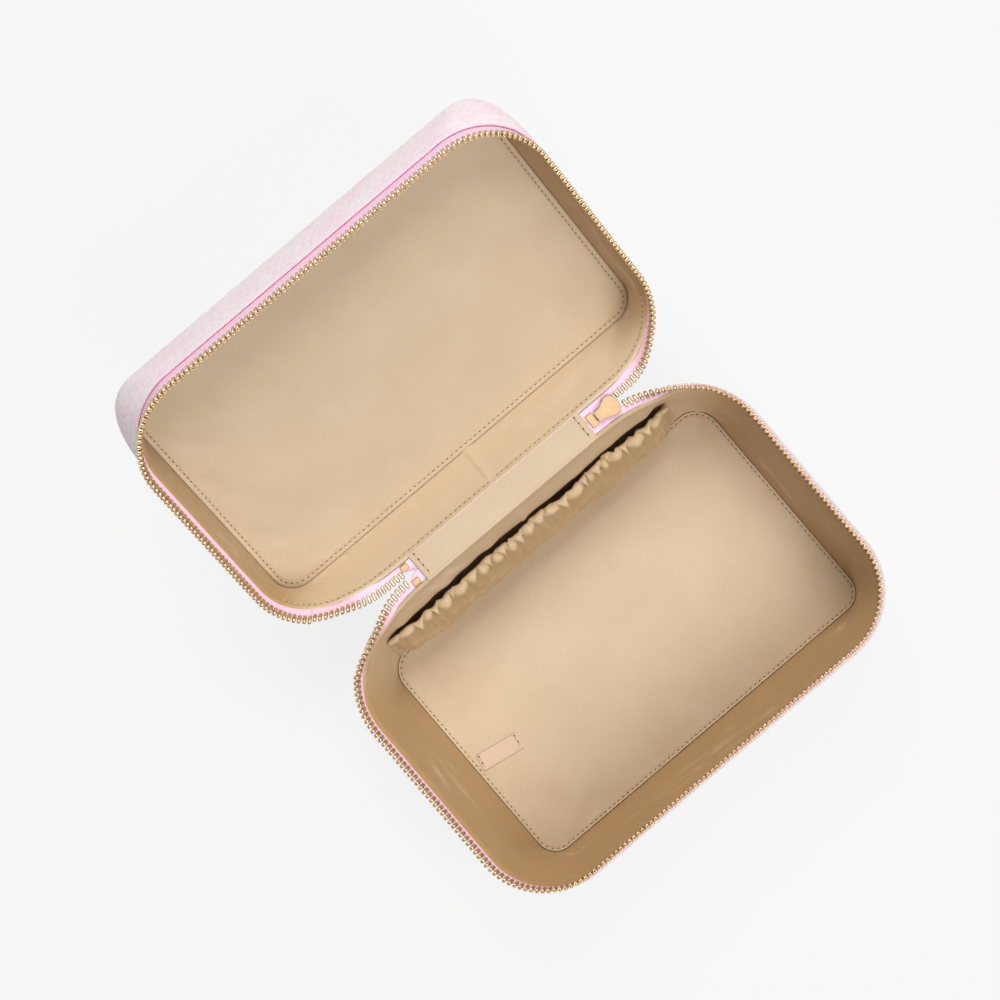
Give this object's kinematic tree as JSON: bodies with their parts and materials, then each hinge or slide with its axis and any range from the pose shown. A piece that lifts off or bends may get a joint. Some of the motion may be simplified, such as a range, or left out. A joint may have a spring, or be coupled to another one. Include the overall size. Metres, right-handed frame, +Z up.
{
  "type": "makeup train case",
  "caption": "Zip-around makeup train case with lined, padded base and fold-back lid, gathered elastic pocket on the hinge wall, metal zip and carry strap; stored open.",
  "frame": {"origin": "centre of the base's underside, on the surface it rests on", "axes": "+X along the hinge toward the zip slider, +Y back to the hinge and the opened lid, +Z up"},
  "size_m": [0.2227, 0.298, 0.1515],
  "materials": {
    "embossed_leather": "scale embossed, soft sheen",
    "strap_leather": "smooth, soft sheen",
    "stiff_board": "pressed board",
    "wall_card": "grey card",
    "foam": "soft foam",
    "lining_cloth": "fine woven, soft sheen",
    "padded_cloth": "fine woven over padding",
    "edge_paint": "painted edge",
    "zip_tape": "woven tape",
    "elastic": "braided",
    "label_satin": "satin ribbon",
    "gold_metal": "polished, pale gold"
  },
  "bodies": {
    "base": {"base_wall_leather": "embossed_leather", "base_panel_leather": "embossed_leather", "base_wall_board": "wall_card", "base_wall_foam": "foam", "base_wall_lining": "lining_cloth", "base_panel_board": "stiff_board", "base_padded_panel": "padded_cloth", "base_rim_edge": "edge_paint", "base_zip_tape": "zip_tape", "base_zip_teeth": "gold_metal", "base_tape_ends": "zip_tape", "base_end_teeth": "gold_metal", "pocket_panel": "lining_cloth", "pocket_hem": "lining_cloth", "pocket_elastic": "elastic", "lining_label": "label_satin"},
    "hinge_strip": {"hinge_lining": "lining_cloth", "hinge_board": "wall_card", "hinge_leather": "embossed_leather", "zip_bottom_stop": "gold_metal", "zip_top_stops": "gold_metal"},
    "lid": {"lid_wall_leather": "embossed_leather", "lid_panel_leather": "embossed_leather", "lid_wall_board": "wall_card", "lid_wall_foam": "foam", "lid_wall_lining": "lining_cloth", "lid_panel_board": "stiff_board", "lid_padded_panel": "padded_cloth", "lid_rim_edge": "edge_paint", "lid_zip_tape": "zip_tape", "lid_zip_teeth": "gold_metal", "lid_tape_ends": "zip_tape", "lid_end_teeth": "gold_metal", "handle_strap": "strap_leather", "handle_studs": "gold_metal"},
    "slider": {"zip_slider": "gold_metal", "slider_bridge": "gold_metal"},
    "pull": {"zip_pull": "gold_metal"}
  },
  "joints": [
    {"name": "strip_fold", "type": "hinge", "parent": "base", "child": "hinge_strip", "pos_m": [0, 0.0715, 0.063], "axis": [1, 0, 0], "range_deg": [0, 73.7], "deforming": ["base_tape_ends", "base_end_teeth"]},
    {"name": "lid_fold", "type": "hinge", "parent": "hinge_strip", "child": "lid", "pos_m": [0, 0.08647, 0.06738], "axis": [1, 0, 0], "range_deg": [0, 73.7], "deforming": ["lid_tape_ends", "lid_end_teeth"]},
    {"name": "zip_slide", "type": "slide", "parent": "hinge_strip", "child": "slider", "axis": [1, 0, 0], "range_m": [0, 0.012]},
    {"name": "pull_swing", "type": "hinge", "parent": "slider", "child": "pull", "pos_m": [0.0598, 0.08039, 0.06039], "axis": [0, 0.9598, 0.2807], "range_deg": [-80, 80]}
  ],
  "couplings": [
    {"joint": "strip_fold", "follows": "lid_fold", "ratio": 1}
  ]
}
